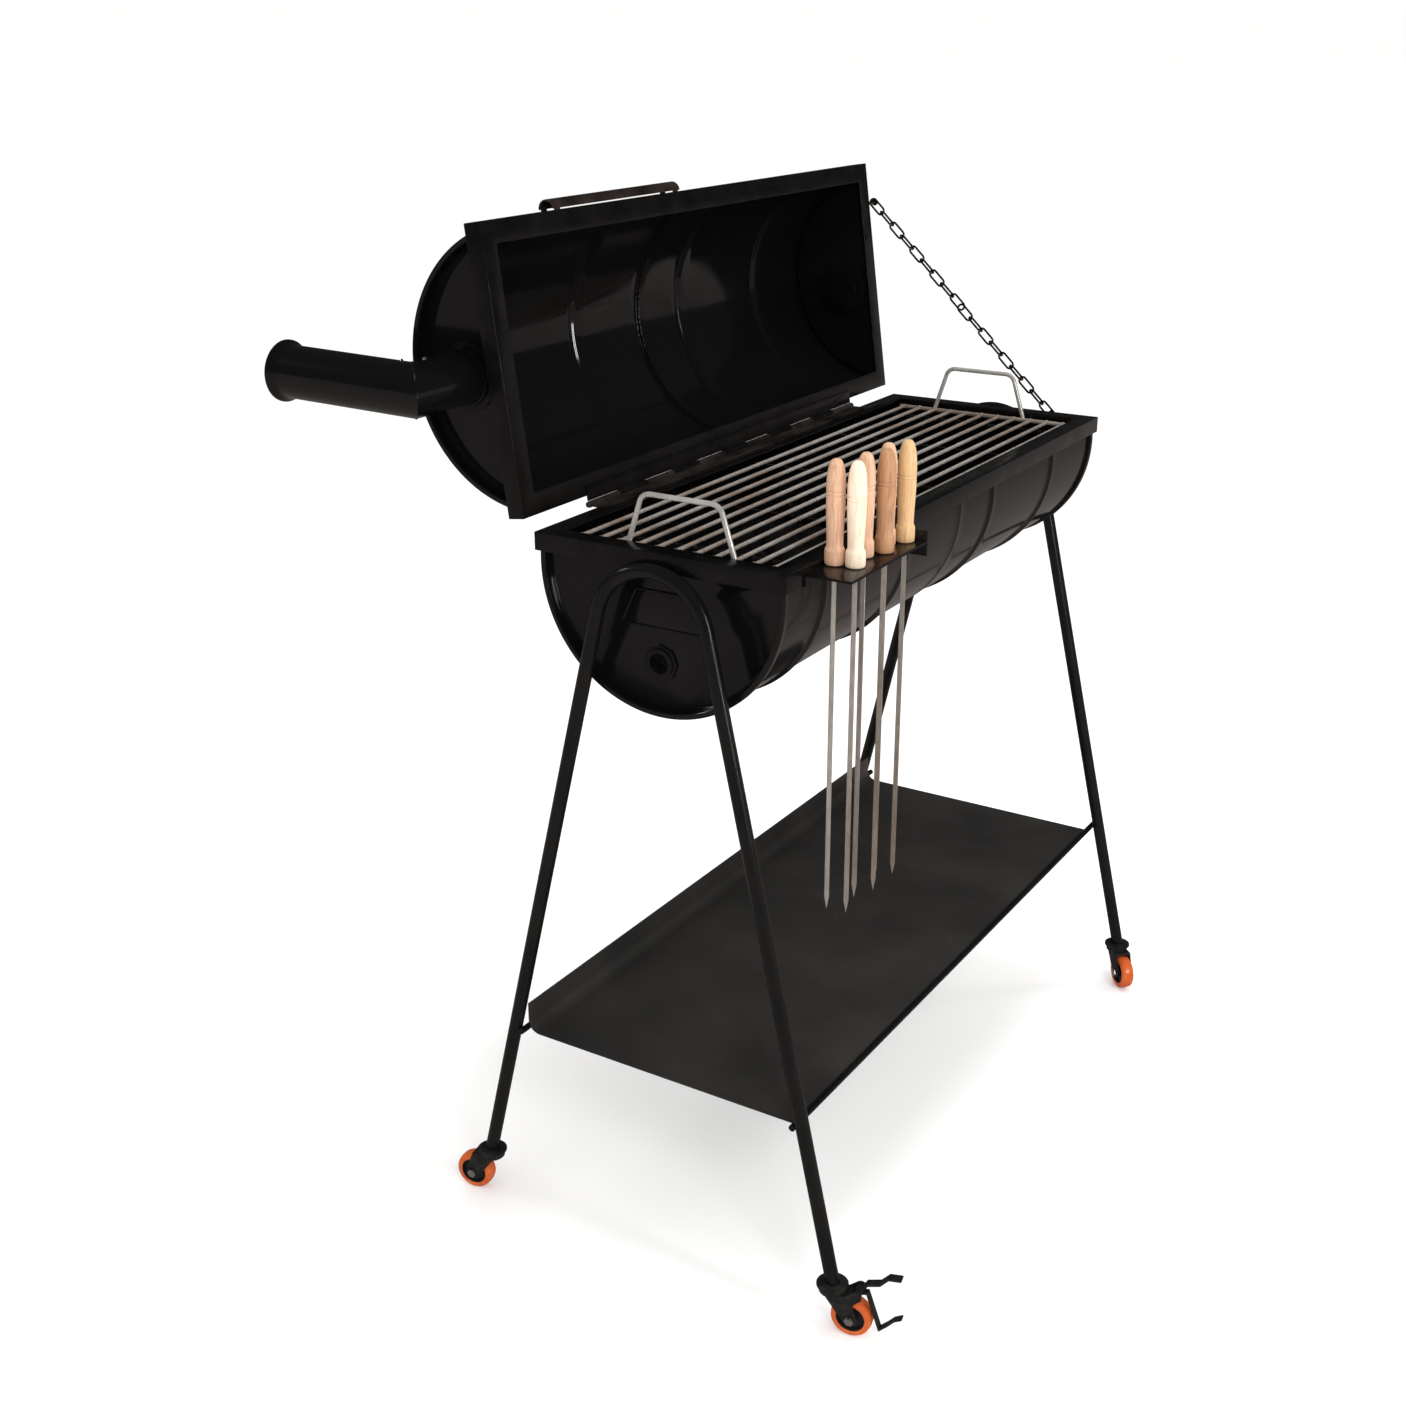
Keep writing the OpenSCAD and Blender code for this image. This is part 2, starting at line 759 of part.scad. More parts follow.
module caster_hub(c) {
    color("#151515") at_caster(c)
        translate([trail, 0, wheel_r]) rotate([90, 0, 0])
            rotate_extrude($fn = 64)
                polygon([
                    [axle_r + running, -wheel_half - 0.8], [7, -wheel_half - 0.8],
                    [7.5, -5], [15, -5], [16, -wheel_half + 0.5], [17.5, -wheel_half + 0.5],
                    [17.5, wheel_half - 0.5], [16, wheel_half - 0.5], [15, 5], [7.5, 5],
                    [7, wheel_half + 0.8], [axle_r + running, wheel_half + 0.8]]);
}

module caster_tread(c) {
    color("#d2571c") at_caster(c)
        translate([trail, 0, wheel_r]) rotate([90, 0, 0])
            rotate_extrude($fn = 96)
                polygon([
                    [17.5, -wheel_half], [wheel_r - 3.2, -wheel_half], [wheel_r - 1.1, -wheel_half + 1.6],
                    [wheel_r - 0.3, -4.5], [wheel_r, 0], [wheel_r - 0.3, 4.5],
                    [wheel_r - 1.1, wheel_half - 1.6], [wheel_r - 3.2, wheel_half], [17.5, wheel_half]]);
}

// Strip bent through a list of points in the XZ plane
module strip(path, w, t) {
    left = strip_edge(path, t / 2);
    right = strip_edge(path, -t / 2);
    translate([0, w / 2, 0])
        rotate([90, 0, 0])
            linear_extrude(w)
                polygon(concat(left, [for (i = [len(right) - 1:-1:0]) right[i]]));
}

// Foot brake: a pad to press above the wheel, a shoe behind the tread and a pad to lift below it
module caster_brake_pedal() {
    color("#1f1f1f") at_caster(caster("nf")) {
        difference() {
            union() {
                strip(press_path, pedal_w, pedal_t);
                strip(shoe_path, pedal_w - 2, pedal_t - 0.4);
                translate([brake_pivot[0], 0, brake_pivot[1]])
                    rotate([90, 0, 0]) cylinder(r = 5, h = 16, center = true);
            }
            translate([brake_pivot[0], 0, brake_pivot[1]])
                rotate([90, 0, 0]) cylinder(r = brake_pin_r + running, h = 20, center = true);
        }
    }
}

// ---- Skewers ----

// Turned handle, standing on the rack
module skewer_handle(p) {
    h = handle_len;
    color("#d7ad88") placed()
        translate([p[0], p[1], rack_z + 0.3])
            rotate_extrude($fn = 64)
                polygon([
                    [0, 0], [collar_r - 1, 0], [collar_r, 1.5], [collar_r, 17], [collar_r - 1.2, 19],
                    [9, 20], [9.4, 40], [10.2, 60], [10.6, 73], [10.1, 74], [10.7, 75], [10.7, 77],
                    [10.2, 78], [10.8, 79], [10.4, 90], [9.3, h - 14], [7, h - 6], [4, h - 1.5], [0, h]]);
}

// Flat steel blade with a pointed tip
module skewer_blade(p) {
    w = 5.6;
    t = 1.6;
    color("#8f8780") placed()
        translate([p[0], p[1], rack_z + 0.3])
            rotate([90, 0, p[2]])
                translate([0, 0, -t / 2])
                    linear_extrude(t)
                        polygon([[-w / 2, 0], [w / 2, 0], [w / 2, -blade_len + 16], [0, -blade_len],
                            [-w / 2, -blade_len + 16]]);
}

base_shell();
base_head_near();
base_head_far();
base_bung_flange();
rim_frame();
grate_rests();
leg_frame_near();
leg_frame_far();
shelf_tray();
shelf_rods();
skewer_rack();
hinge_base_leaf();
hinge_pin();
chain_anchor_base();
caster_cups();
lid_shell();
lid_head_near();
lid_head_far();
lid_rim_frame();
lid_grip();
lid_bung_fitting();
chimney_collar();
chimney_elbow();
chimney_pipe();
hinge_lid_leaf();
chain_anchor_lid();
chain_lower();
chain_upper();
grate_rods();
grate_cross_bars();
grate_handles();
for (c = casters) {
    caster_fork(c);
    caster_axle(c);
    caster_hub(c);
    caster_tread(c);
}
caster_brake_pedal();
for (i = [0:len(skewers) - 1]) {
    skewer_handle(skewers[i]);
    skewer_blade(skewers[i]);
}
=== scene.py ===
"""Barrel charcoal grill with its lid open: studio view, materials and finished surfaces.

Lengths in the builders are millimetres in the drum frame: X along the drum, Y towards the hinge,
Z from the floor, X = Y = 0 at the middle of the rim. Lid pieces are built as if the lid were closed.
"""
import json
import random
from math import asin, cos, pi, radians, sin

import bmesh
import bpy
from mathutils import Matrix, Vector


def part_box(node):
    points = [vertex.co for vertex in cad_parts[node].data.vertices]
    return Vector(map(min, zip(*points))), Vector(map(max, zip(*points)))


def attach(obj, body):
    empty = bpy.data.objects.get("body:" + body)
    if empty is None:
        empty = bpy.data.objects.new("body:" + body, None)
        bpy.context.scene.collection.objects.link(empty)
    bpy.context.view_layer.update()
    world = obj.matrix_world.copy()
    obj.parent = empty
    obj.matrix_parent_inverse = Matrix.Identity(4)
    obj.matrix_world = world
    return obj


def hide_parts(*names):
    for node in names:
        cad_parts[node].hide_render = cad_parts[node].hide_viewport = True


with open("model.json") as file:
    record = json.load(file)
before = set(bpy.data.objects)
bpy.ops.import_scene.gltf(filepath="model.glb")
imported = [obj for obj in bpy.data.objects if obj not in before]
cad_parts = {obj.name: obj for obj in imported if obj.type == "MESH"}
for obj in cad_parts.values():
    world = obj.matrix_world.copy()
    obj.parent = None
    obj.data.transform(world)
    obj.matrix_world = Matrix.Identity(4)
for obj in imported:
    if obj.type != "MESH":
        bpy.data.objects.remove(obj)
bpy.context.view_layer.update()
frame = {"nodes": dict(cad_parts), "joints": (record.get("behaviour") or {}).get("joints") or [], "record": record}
random.seed(7)

MM = 0.001
NODES = frame["nodes"]
RECORD = frame["record"]
SLOT_OF = {entry["node"]: entry["material_slot"] for entry in RECORD["subparts"]}
BODY_OF = {node: body for body, nodes in RECORD["behaviour"]["bodies"].items() for node in nodes}
JOINTS = {j["name"]: j for j in frame["joints"]}
RIM_LOW, RIM_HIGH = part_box("rim_frame")
MIDDLE = (RIM_LOW + RIM_HIGH) / 2
RIM_TOP = RIM_HIGH.z / MM
HINGE = Vector(JOINTS["lid_hinge"]["pos_m"])
OPEN_ANGLE = radians(-JOINTS["lid_hinge"]["range_deg"][0])

TO_ROW = Matrix.Translation((MIDDLE.x, MIDDLE.y, 0)) @ Matrix.Scale(MM, 4)
SWING = (Matrix.Translation(HINGE) @ Matrix.Rotation(-OPEN_ANGLE, 4, "X")
         @ Matrix.Translation(-HINGE))
LID_TO_ROW = SWING @ TO_ROW

SHELL_R = 154.5
SHEET = 1.5
ANGLE_T = 3                                 # thickness of the rim's angle iron
CUT_UP = 30.5                               # height of the cut over the drum's axis
BASE_AXIS_Z = RIM_TOP - ANGLE_T - CUT_UP
LID_FACE_Z = RIM_TOP + 2 * (HINGE.z / MM - RIM_TOP)
LID_AXIS_Z = LID_FACE_Z + ANGLE_T - CUT_UP
HEAD_FACE = 431
SHELL_END = 444
HOOPS = (-352, -148, 97, 298)
HOOP_H, HOOP_W = 3.5, 16
SEAM_H, SEAM_W = 1.0, 7
CHIMNEY_LEAN = 8.9


# ---- Camera, floor and light ----

FLOOR_COLOUR = (0.93, 0.925, 0.92)
FLOOR_IN_GLOSS = (0.11, 0.094, 0.084)       # the floor as polished black shows it
WORLD_IN_GLOSS = 0.03                       # the white surround as polished black shows it


def add_camera():
    data = bpy.data.cameras.new("camera")
    data.sensor_width = 36
    data.lens = 45.59
    data.clip_end = 50
    camera = bpy.data.objects.new("camera", data)
    place = Matrix.Translation((-1.9518, -1.0816, 1.442))
    heading, tilt_down, roll = radians(-57.834), radians(21.215), radians(-0.247)
    turn = (Matrix.Rotation(heading, 4, "Z") @ Matrix.Rotation(pi / 2 - tilt_down, 4, "X")
            @ Matrix.Rotation(roll, 4, "Z"))
    camera.matrix_world = place @ turn
    bpy.context.scene.collection.objects.link(camera)
    bpy.context.scene.camera = camera


def add_floor():
    """Pale seamless floor, wide enough to reach the horizon."""
    mesh = bpy.data.meshes.new("floor")
    size = 80
    mesh.from_pydata([(-size, -size, 0), (size, -size, 0), (size, size, 0), (-size, size, 0)],
                     [], [(0, 1, 2, 3)])
    floor = bpy.data.objects.new("floor", mesh)
    bpy.context.scene.collection.objects.link(floor)
    s = Surface("floor", FLOOR_COLOUR, 0.9, specular=0.0)
    s.shader.inputs["Emission Strength"].default_value = 0.09
    s.shader.inputs["Emission Color"].default_value = (1, 1, 1, 1)
    ray = s.tree.nodes.new("ShaderNodeLightPath")
    s.colour(s.mix(ray.outputs["Is Glossy Ray"], FLOOR_COLOUR, FLOOR_IN_GLOSS))
    mesh.materials.append(s.mat)


def add_light(name, place, target, size, power, mirrored=True):
    """Rectangular softbox; one that isn't mirrored lights the piece but doesn't show in its gloss."""
    data = bpy.data.lights.new(name, "AREA")
    data.shape = "RECTANGLE"
    data.size, data.size_y = size
    data.energy = power
    light = bpy.data.objects.new(name, data)
    light.visible_glossy = mirrored
    light.location = place
    light.rotation_euler = (Vector(target) - Vector(place)).to_track_quat("-Z", "Y").to_euler()
    bpy.context.scene.collection.objects.link(light)


def add_studio():
    """White surround that fills shadows, but shows only dimly in polished black.

    Broad softboxes light the piece without mirroring in it, and small bright ones draw the highlights.
    """
    world = bpy.data.worlds.new("studio")
    bpy.context.scene.world = world
    world.use_nodes = True
    tree = world.node_tree
    back = tree.nodes["Background"]
    back.inputs["Color"].default_value = (1, 0.995, 0.99, 1)
    ray = tree.nodes.new("ShaderNodeLightPath")
    strength = tree.nodes.new("ShaderNodeMapRange")
    strength.inputs["To Min"].default_value = 1.0
    strength.inputs["To Max"].default_value = WORLD_IN_GLOSS
    tree.links.new(ray.outputs["Is Glossy Ray"], strength.inputs["Value"])
    tree.links.new(strength.outputs["Result"], back.inputs["Strength"])
    bpy.context.scene.view_settings.view_transform = "Standard"
    add_light("key", (-2.3, -2.2, 2.6), (0, 0, 0.9), (0.9, 0.9), 34, False)
    add_light("side", (2.4, -2.0, 2.0), (0, 0, 0.8), (0.5, 1.4), 18, False)
    add_light("top", (0.3, -0.2, 3.2), (0, 0, 0.8), (1.6, 0.6), 22, False)
    add_light("front_strip", (-0.55, -2.35, 1.25), (-0.1, 0.26, 1.05), (0.22, 1.1), 14)
    add_light("back_strip", (-0.9, 2.3, 2.1), (0, 0, 0.9), (0.9, 0.14), 6)


# ---- Materials ----

class Surface:
    """A Principled material with helpers for noise-driven colour, roughness and bump."""

    def __init__(self, name, colour, rough, metallic=0.0, coat=0.0, specular=0.5):
        self.mat = bpy.data.materials.new(name)
        self.mat.use_nodes = True
        self.tree = self.mat.node_tree
        self.shader = self.tree.nodes["Principled BSDF"]
        self.shader.inputs["Base Color"].default_value = (*colour, 1)
        self.shader.inputs["Roughness"].default_value = rough
        self.shader.inputs["Metallic"].default_value = metallic
        self.shader.inputs["Coat Weight"].default_value = coat
        self.shader.inputs["Coat Roughness"].default_value = 0.08
        self.shader.inputs["Specular IOR Level"].default_value = specular
        self.coords = self.tree.nodes.new("ShaderNodeTexCoord")

    def link(self, a, b):
        self.tree.links.new(a, b)

    def noise(self, scale, detail=3.0, stretch=(1, 1, 1), distortion=0.0):
        """Height of a noise fixed to the object; a small stretch draws it out along that axis."""
        mapping = self.tree.nodes.new("ShaderNodeMapping")
        mapping.inputs["Scale"].default_value = stretch
        self.link(self.coords.outputs["Object"], mapping.inputs["Vector"])
        tex = self.tree.nodes.new("ShaderNodeTexNoise")
        tex.inputs["Scale"].default_value = scale
        tex.inputs["Detail"].default_value = detail
        tex.inputs["Distortion"].default_value = distortion
        self.link(mapping.outputs["Vector"], tex.inputs["Vector"])
        return tex.outputs["Fac"]

    def ramp(self, fac, stops):
        """Stops are (place, colour or grey)."""
        node = self.tree.nodes.new("ShaderNodeValToRGB")
        points = node.color_ramp.elements
        while len(points) < len(stops):
            points.new(0.5)
        for point, (place, colour) in zip(points, stops):
            point.position = place
            point.color = (*colour, 1) if isinstance(colour, tuple) else (colour, colour, colour, 1)
        self.link(fac, node.inputs["Fac"])
        return node.outputs["Color"]

    def mix(self, fac, a, b, mode="MIX"):
        node = self.tree.nodes.new("ShaderNodeMix")
        node.data_type = "RGBA"
        node.blend_type = mode
        for value, socket in ((fac, node.inputs[0]), (a, node.inputs[6]), (b, node.inputs[7])):
            if isinstance(value, (int, float)):
                socket.default_value = value
            elif isinstance(value, tuple):
                socket.default_value = (*value, 1)
            else:
                self.link(value, socket)
        return node.outputs[2]

    def colour(self, socket):
        self.link(socket, self.shader.inputs["Base Color"])
        return self

    def rough(self, low, high, scale, detail=3.0, stretch=(1, 1, 1)):
        """Roughness that drifts between two values."""
        spread = self.ramp(self.noise(scale, detail, stretch), [(0.35, low), (0.65, high)])
        self.link(spread, self.shader.inputs["Roughness"])
        return self

    def bump(self, *layers):
        """Each layer is (height socket, strength, distance in metres)."""
        last = None
        for height, strength, distance in layers:
            node = self.tree.nodes.new("ShaderNodeBump")
            node.inputs["Strength"].default_value = strength
            node.inputs["Distance"].default_value = distance
            self.link(height, node.inputs["Height"])
            if last is not None:
                self.link(last, node.inputs["Normal"])
            last = node.outputs["Normal"]
        self.link(last, self.shader.inputs["Normal"])
        return self


def enamel():
    """Thick glossy black paint over drum steel: slow waves, orange peel and a few dust specks."""
    s = Surface("enamel", (0.004, 0.0037, 0.0037), 0.2)
    specks = s.ramp(s.noise(420, 2), [(0.74, 0.0), (0.78, 1.0)])
    s.colour(s.mix(specks, (0.0035, 0.0033, 0.0033), (0.03, 0.027, 0.024)))
    s.rough(0.07, 0.15, 9, 4)
    return s.bump((s.noise(5, 1, (0.7, 1, 1)), 0.12, 0.010), (s.noise(650, 1), 0.06, 0.0003)).mat


def frame_paint():
    """Brushed-on satin black on angle iron, with faint mill marks under it."""
    s = Surface("frame_paint", (0.006, 0.0055, 0.0055), 0.3, specular=0.35)
    brushed = [(0.4, (0.0026, 0.0024, 0.0024)), (0.7, (0.0052, 0.0047, 0.0045))]
    s.colour(s.ramp(s.noise(26, 4), brushed))
    s.rough(0.16, 0.28, 30, 4)
    return s.bump((s.noise(160, 3, (0.2, 1, 1)), 0.1, 0.0006), (s.noise(900, 1), 0.1, 0.0003)).mat


def caster_paint():
    """Dull black dip coat on pressed plate, greyed by dust."""
    s = Surface("caster_paint", (0.012, 0.0115, 0.011), 0.5, specular=0.4)
    s.colour(s.ramp(s.noise(90, 4), [(0.4, (0.008, 0.0078, 0.0078)), (0.72, (0.022, 0.020, 0.018))]))
    s.rough(0.42, 0.6, 140, 3)
    return s.bump((s.noise(1100, 2), 0.2, 0.0003)).mat


def tube_paint():
    """Satin black on drawn tube."""
    s = Surface("tube_paint", (0.005, 0.0047, 0.0047), 0.25, specular=0.35)
    s.colour(s.ramp(s.noise(14, 4), [(0.4, (0.0038, 0.0038, 0.0038)), (0.7, (0.007, 0.0065, 0.006))]))
    s.rough(0.18, 0.32, 22, 3)
    return s.bump((s.noise(700, 1), 0.15, 0.0003)).mat


def tray_paint():
    """Rubbed satin sheet: a cloudy sheen painted into its colour as a painted reflection, long faint scratches and
    pale specks.
    """
    s = Surface("tray_paint", (0.02, 0.0195, 0.019), 0.4)
    # painted reflection: a cloudy lift of the colour stands in for the room's sheen on the tray's upper face
    painted_sheen = s.ramp(s.noise(7, 5), [(0.35, (0.019, 0.018, 0.0172)), (0.7, (0.031, 0.029, 0.0272))])
    specks = s.ramp(s.noise(260, 2), [(0.755, 0.0), (0.775, 1.0)])
    s.colour(s.mix(specks, painted_sheen, (0.16, 0.14, 0.12)))
    s.rough(0.30, 0.46, 12, 5)
    return s.bump((s.noise(90, 4, (0.08, 1, 1)), 0.12, 0.0006), (s.noise(3.5, 1), 0.3, 0.004)).mat


def stained_steel(name, clean, stain, low=0.28, high=0.45, stretch=(0.3, 1, 1), amount=0.6, metallic=1.0):
    """Bare steel with heat and smoke stains in patches; scale makes it less of a mirror."""
    s = Surface(name, clean, low, metallic=metallic)
    patches = s.ramp(s.noise(8, 5, stretch), [(0.42, 0.0), (amount, 1.0)])
    fine = s.ramp(s.noise(240, 3, stretch), [(0.3, 0.75), (0.7, 1.0)])
    s.colour(s.mix(1.0, s.mix(patches, clean, stain), fine, "MULTIPLY"))
    s.rough(low, high, 60, 4, stretch)
    return s.bump((s.noise(500, 3, stretch), 0.2, 0.0003)).mat


def bright_steel():
    """Clean drawn wire, kept bright by handling."""
    s = Surface("bright_steel", (0.62, 0.59, 0.55), 0.22, metallic=0.6)
    s.colour(s.ramp(s.noise(20, 4), [(0.35, (0.56, 0.53, 0.49)), (0.6, (0.78, 0.76, 0.72))]))
    s.rough(0.16, 0.32, 120, 3)
    return s.bump((s.noise(900, 2), 0.15, 0.0002)).mat


def grip_metal():
    """Brown-black burnished sheet that mirrors the room."""
    s = Surface("grip_metal", (0.09, 0.07, 0.06), 0.25, metallic=0.85)
    s.colour(s.ramp(s.noise(25, 5), [(0.35, (0.05, 0.038, 0.033)), (0.7, (0.15, 0.115, 0.10))]))
    s.rough(0.18, 0.34, 40, 4)
    return s.bump((s.noise(300, 3), 0.2, 0.0004)).mat


def hinge_steel():
    """Raw strap hinge, browned by heat."""
    s = Surface("hinge_steel", (0.09, 0.07, 0.06), 0.42, metallic=0.7)
    browned = [(0.35, (0.018, 0.015, 0.014)), (0.68, (0.085, 0.07, 0.06))]
    s.colour(s.ramp(s.noise(45, 5, (0.4, 1, 1)), browned))
    s.rough(0.34, 0.55, 60, 4)
    return s.bump((s.noise(400, 3), 0.25, 0.0004)).mat


def orange_tread():
    """Cast polyurethane, glossy, with a film of dust worn into its middle."""
    s = Surface("orange_tread", (0.80, 0.13, 0.015), 0.28, coat=0.25)
    s.shader.inputs["Subsurface Weight"].default_value = 0.12
    s.shader.inputs["Subsurface Radius"].default_value = (0.004, 0.0012, 0.0004)
    tint = s.ramp(s.noise(60, 4), [(0.3, (0.46, 0.065, 0.010)), (0.65, (0.62, 0.12, 0.018))])
    dust = s.ramp(s.noise(180, 4), [(0.6, 0.0), (0.8, 0.35)])
    s.colour(s.mix(dust, tint, (0.48, 0.22, 0.11)))
    s.rough(0.2, 0.4, 110, 3)
    return s.bump((s.noise(500, 2), 0.1, 0.0003)).mat


def hub_plastic():
    s = Surface("hub_plastic", (0.010, 0.010, 0.011), 0.45)
    s.rough(0.38, 0.55, 160, 3)
    return s.bump((s.noise(1500, 2), 0.2, 0.0002)).mat


def zinc():
    s = Surface("zinc", (0.66, 0.66, 0.64), 0.25, metallic=1.0)
    s.colour(s.ramp(s.noise(300, 3), [(0.35, (0.50, 0.50, 0.48)), (0.65, (0.74, 0.74, 0.72))]))
    return s.rough(0.18, 0.34, 200).mat


def turned_wood(name, light, dark, seed):
    """Raw turned wood: fine straight grain along the handle, pores and hand darkening."""
    s = Surface(name, light, 0.55, specular=0.35)
    grain = s.noise(60 + seed, 6, (5, 5, 0.35), 1.2)
    base = s.ramp(grain, [(0.30, dark), (0.52, light), (0.75, tuple(min(1, c * 1.12) for c in light))])
    pores = s.ramp(s.noise(420, 2, (4, 4, 0.25)), [(0.62, 0.0), (0.78, 0.55)])
    wear = s.ramp(s.noise(18 + seed, 4), [(0.45, 0.0), (0.75, 0.35)])
    streaked = s.mix(pores, base, tuple(c * 0.5 for c in dark))
    s.colour(s.mix(wear, streaked, tuple(c * 0.72 for c in light)))
    s.rough(0.42, 0.62, 90, 4)
    return s.bump((grain, 0.2, 0.0006), (s.noise(900, 2, (3, 3, 0.3)), 0.2, 0.0003)).mat


def build_materials():
    tan_light, tan_dark = (0.66, 0.40, 0.26), (0.50, 0.27, 0.16)
    return {
        "drum_enamel": enamel(),
        "frame_black": frame_paint(),
        "tube_black": tube_paint(),
        "tray_dark": tray_paint(),
        "hinge_steel": hinge_steel(),
        "chain_steel": stained_steel("chain_steel", (0.20, 0.18, 0.16), (0.08, 0.06, 0.05), 0.3, 0.5),
        "grip_metal": grip_metal(),
        "grate_steel": stained_steel("grate_steel", (0.62, 0.58, 0.53), (0.34, 0.23, 0.16), 0.26, 0.42,
                                     (1, 0.6, 1), 0.72, 0.55),
        "grate_dark": stained_steel("grate_dark", (0.17, 0.15, 0.135), (0.07, 0.05, 0.04), 0.35, 0.5),
        "handle_steel": bright_steel(),
        "caster_black": caster_paint(),
        "axle_zinc": zinc(),
        "hub_plastic": hub_plastic(),
        "tread_orange": orange_tread(),
        "wood_pink": turned_wood("wood_pink", tan_light, tan_dark, 0),
        "wood_brown": turned_wood("wood_brown", (0.47, 0.25, 0.13), (0.30, 0.14, 0.07), 3),
        "wood_cream": turned_wood("wood_cream", (0.87, 0.70, 0.54), (0.76, 0.56, 0.41), 5),
        "wood_yellow": turned_wood("wood_yellow", (0.68, 0.45, 0.23), (0.50, 0.30, 0.14), 8),
        "blade_steel": stained_steel("blade_steel", (0.40, 0.36, 0.32), (0.22, 0.16, 0.12), 0.3, 0.48,
                                     (1, 1, 0.3), 0.7, 0.5),
    }


def dress(obj, slot):
    obj.data.materials.clear()
    obj.data.materials.append(MATERIALS[slot])


def dress_cad_nodes():
    for node, slot in SLOT_OF.items():
        dress(NODES[node], slot)


# ---- Mesh helpers ----

def smooth(mesh, angle=35):
    mesh.polygons.foreach_set("use_smooth", [True] * len(mesh.polygons))
    mesh.set_sharp_from_angle(angle=radians(angle))


def mounted(obj, slot, body, replaces=()):
    """Link, finish and mount a new object; replaces names the CAD nodes that it stands for."""
    bpy.context.scene.collection.objects.link(obj)
    dress(obj, slot)
    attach(obj, body)
    if replaces:
        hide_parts(*replaces)
    return obj


def piece(name, verts, faces, matrix, slot, body, replaces=(), angle=35):
    """New surface from points in millimetres; matrix takes them to the shared frame."""
    mesh = bpy.data.meshes.new(name)
    mesh.from_pydata([matrix @ Vector(v) for v in verts], [], faces)
    bm = bmesh.new()
    bm.from_mesh(mesh)
    bmesh.ops.remove_doubles(bm, verts=bm.verts, dist=1e-6)
    bmesh.ops.recalc_face_normals(bm, faces=bm.faces)
    bm.to_mesh(mesh)
    bm.free()
    smooth(mesh, angle)
    return mounted(bpy.data.objects.new(name, mesh), slot, body, replaces)


def softened(node, width, segments=2):
    """The CAD node again with its sharp edges rounded, standing for it."""
    mesh = NODES[node].data.copy()
    bm = bmesh.new()
    bm.from_mesh(mesh)
    bmesh.ops.remove_doubles(bm, verts=bm.verts, dist=2e-6)
    bmesh.ops.dissolve_limit(bm, angle_limit=radians(0.6), verts=bm.verts, edges=bm.edges)
    sharp_angle = radians(40)
    sharp = [e for e in bm.edges if len(e.link_faces) == 2 and e.calc_face_angle(0) > sharp_angle]
    bmesh.ops.bevel(bm, geom=sharp, offset=width * MM, offset_type="OFFSET", segments=segments,
                    profile=0.6, affect="EDGES", clamp_overlap=True)
    bm.to_mesh(mesh)
    bm.free()
    mesh.name = node + "_soft"
    smooth(mesh, 32)
    return mounted(bpy.data.objects.new(node + "_soft", mesh), SLOT_OF[node], BODY_OF[node], (node,))


# ---- Drum ----

def bump_at(d, height, width):
    """Height of a rounded hoop at distance d from its middle."""
    return 0 if abs(d) >= width / 2 else height * (1 + cos(2 * pi * d / width)) / 2


def shell_height(x):
    """How far the drum wall stands out of the plain cylinder at x."""
    return sum(bump_at(x - hoop, HOOP_H, HOOP_W) for hoop in HOOPS) + bump_at(x, SEAM_H, SEAM_W)


def shell_stations():
    """Places along the drum: dense over the hoops, sparse between them."""
    marks = {float(-SHELL_END), float(SHELL_END)}
    marks.update(float(x) for x in range(-440, 441, 20))
    for hoop in HOOPS:
        marks.update(hoop + HOOP_W * i / 12 - HOOP_W / 2 for i in range(13))
    marks.update(SEAM_W * i / 6 - SEAM_W / 2 for i in range(7))
    return sorted(marks)


def half_shell(name, axis_z, up, matrix, body, node):
    """Rolled half drum, cut level CUT_UP over its own axis; up is 1 for the part above the cut."""
    stations = shell_stations()
    steps = 72
    verts = []
    for inward in (0, SHEET):
        for x in stations:
            r = SHELL_R + shell_height(x) - inward
            edge = asin(CUT_UP / r)
            start, end = (edge, pi - edge) if up > 0 else (edge, -pi - edge)
            for i in range(steps + 1):
                a = start + (end - start) * i / steps
                verts.append((x, -r * cos(a), axis_z + r * sin(a)))
    row, sheet = steps + 1, (steps + 1) * len(stations)
    faces = []
    for i in range(len(stations) - 1):
        for j in range(steps):
            a = i * row + j
            faces.append((a, a + 1, a + row + 1, a + row))
            faces.append((sheet + a, sheet + a + row, sheet + a + row + 1, sheet + a + 1))
        for j in (0, steps):
            a = i * row + j
            faces.append((a, a + row, sheet + a + row, sheet + a))
    for i in (0, len(stations) - 1):
        for j in range(steps):
            a = i * row + j
            faces.append((a, a + 1, sheet + a + 1, sheet + a))
    return piece(name, verts, faces, matrix, "drum_enamel", body, (node,), 40)


OCTAHEDRON = ((1, 0, 0), (-1, 0, 0), (0, 1, 0), (0, -1, 0), (0, 0, 1), (0, 0, -1))
OCTAHEDRON_FACES = ((0, 2, 4), (2, 1, 4), (1, 3, 4), (3, 0, 4), (2, 0, 5), (1, 2, 5), (3, 1, 5), (0, 3, 5))


